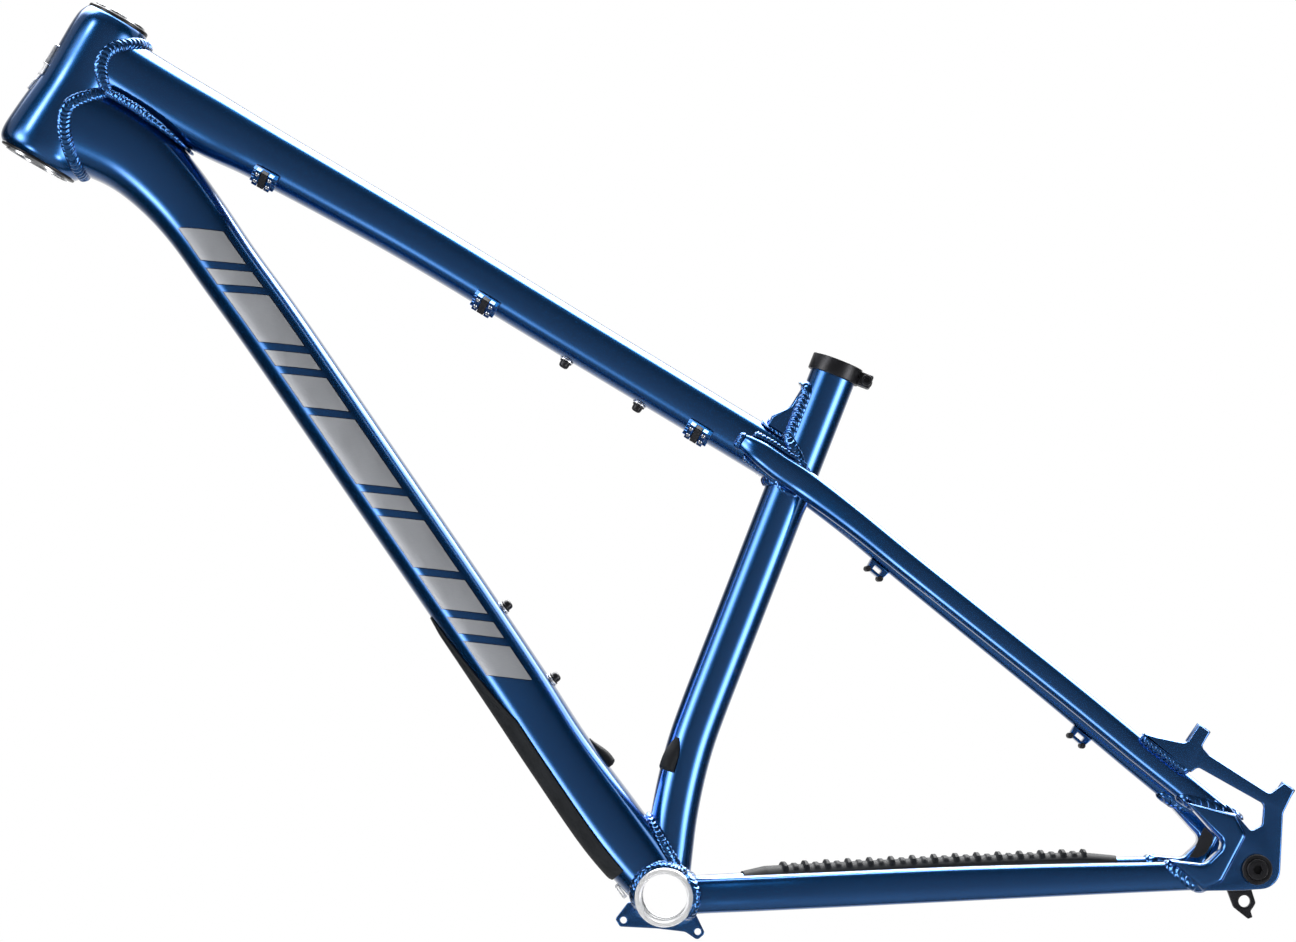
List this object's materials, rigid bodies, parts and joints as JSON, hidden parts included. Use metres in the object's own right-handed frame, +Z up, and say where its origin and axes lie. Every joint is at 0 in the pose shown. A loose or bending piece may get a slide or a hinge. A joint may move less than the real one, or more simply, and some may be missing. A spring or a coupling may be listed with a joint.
{
  "type": "bicycle frame",
  "caption": "Hardtail mountain bike frame of welded, formed aluminium tubes, with headset cups, seat clamp, disc brake posts, rear through-axle and rubber guards.",
  "frame": {"origin": "centre of the bottom bracket shell", "axes": "+X to the rear wheel, -Y to the rider's left, +Z up as ridden; Y is the bottom bracket's axis"},
  "size_m": [0.9986, 0.1768, 0.6708],
  "materials": {
    "blue_paint": "gloss metallic blue over aluminium",
    "bare_aluminium": "machined",
    "black_anodised": "satin black anodised",
    "bearing_steel": "ground steel",
    "grey_rubber": "matte dark grey",
    "black_plastic": "matte black"
  },
  "bodies": {
    "frame": {"head_tube": "blue_paint", "top_tube": "blue_paint", "down_tube": "blue_paint", "seat_tube": "blue_paint", "bottom_bracket_shell": "bare_aluminium", "seat_tube_gusset": "blue_paint", "chainstay_left": "blue_paint", "chainstay_right": "blue_paint", "seatstay_left": "blue_paint", "seatstay_right": "blue_paint", "dropout_left": "blue_paint", "dropout_right": "blue_paint", "derailleur_hanger": "black_anodised", "hanger_bolt": "black_anodised", "axle_nut": "black_anodised", "dropout_inner_plate": "black_anodised", "chain_guide_plate": "blue_paint", "top_tube_cable_guide_1": "blue_paint", "top_tube_cable_guide_2": "blue_paint", "top_tube_cable_guide_3": "blue_paint", "top_tube_cable_clip_1": "black_plastic", "top_tube_cable_clip_2": "black_plastic", "top_tube_cable_clip_3": "black_plastic", "seatstay_cable_guide_1": "blue_paint", "seatstay_cable_guide_2": "blue_paint", "head_badge": "bare_aluminium", "headset_upper_cup": "black_anodised", "headset_lower_cup": "black_anodised", "upper_bearing_outer_race": "bearing_steel", "lower_bearing_outer_race": "bearing_steel", "upper_bearing_balls": "bearing_steel", "lower_bearing_balls": "bearing_steel", "down_tube_guard": "grey_rubber", "chainstay_guard": "grey_rubber", "down_tube_port": "grey_rubber", "seat_tube_port": "grey_rubber", "guide_tie_bracket": "bare_aluminium", "down_tube_rivnut_1": "bare_aluminium", "down_tube_rivnut_2": "bare_aluminium", "top_tube_rivnut_1": "bare_aluminium", "top_tube_rivnut_2": "bare_aluminium", "down_tube_bottle_bolt_1": "black_anodised", "down_tube_bottle_bolt_2": "black_anodised", "top_tube_bottle_bolt_1": "black_anodised", "top_tube_bottle_bolt_2": "black_anodised"},
    "upper_bearing": {"upper_bearing_inner_race": "bearing_steel"},
    "lower_bearing": {"lower_bearing_inner_race": "bearing_steel"},
    "seat_clamp": {"seat_clamp_collar": "black_anodised", "seat_clamp_nut": "black_anodised"},
    "seat_clamp_screw": {"seat_clamp_bolt": "black_anodised"},
    "washer": {"axle_washer": "black_anodised"},
    "axle": {"rear_axle": "black_anodised"}
  },
  "joints": [
    {"name": "upper_bearing_turn", "type": "hinge", "parent": "frame", "child": "upper_bearing", "pos_m": [-0.4662, 0, 0.626], "axis": [0.4163, 0, 0.9092], "continuous": true},
    {"name": "lower_bearing_turn", "type": "hinge", "parent": "frame", "child": "lower_bearing", "pos_m": [-0.4662, 0, 0.626], "axis": [0.4163, 0, 0.9092], "continuous": true},
    {"name": "seat_clamp_lift", "type": "slide", "parent": "frame", "child": "seat_clamp", "axis": [0.2924, 0, 0.9563], "range_m": [0, 0.03]},
    {"name": "seat_clamp_bolt_turn", "type": "hinge", "parent": "seat_clamp", "child": "seat_clamp_screw", "pos_m": [0.12101, 0, 0.39601], "axis": [0, -1, 0], "continuous": true},
    {"name": "axle_withdraw", "type": "slide", "parent": "frame", "child": "washer", "axis": [0, -1, 0], "range_m": [0, 0.18]},
    {"name": "axle_turn", "type": "hinge", "parent": "washer", "child": "axle", "pos_m": [0.4272, 0, 0.056], "axis": [0, -1, 0], "continuous": true}
  ]
}
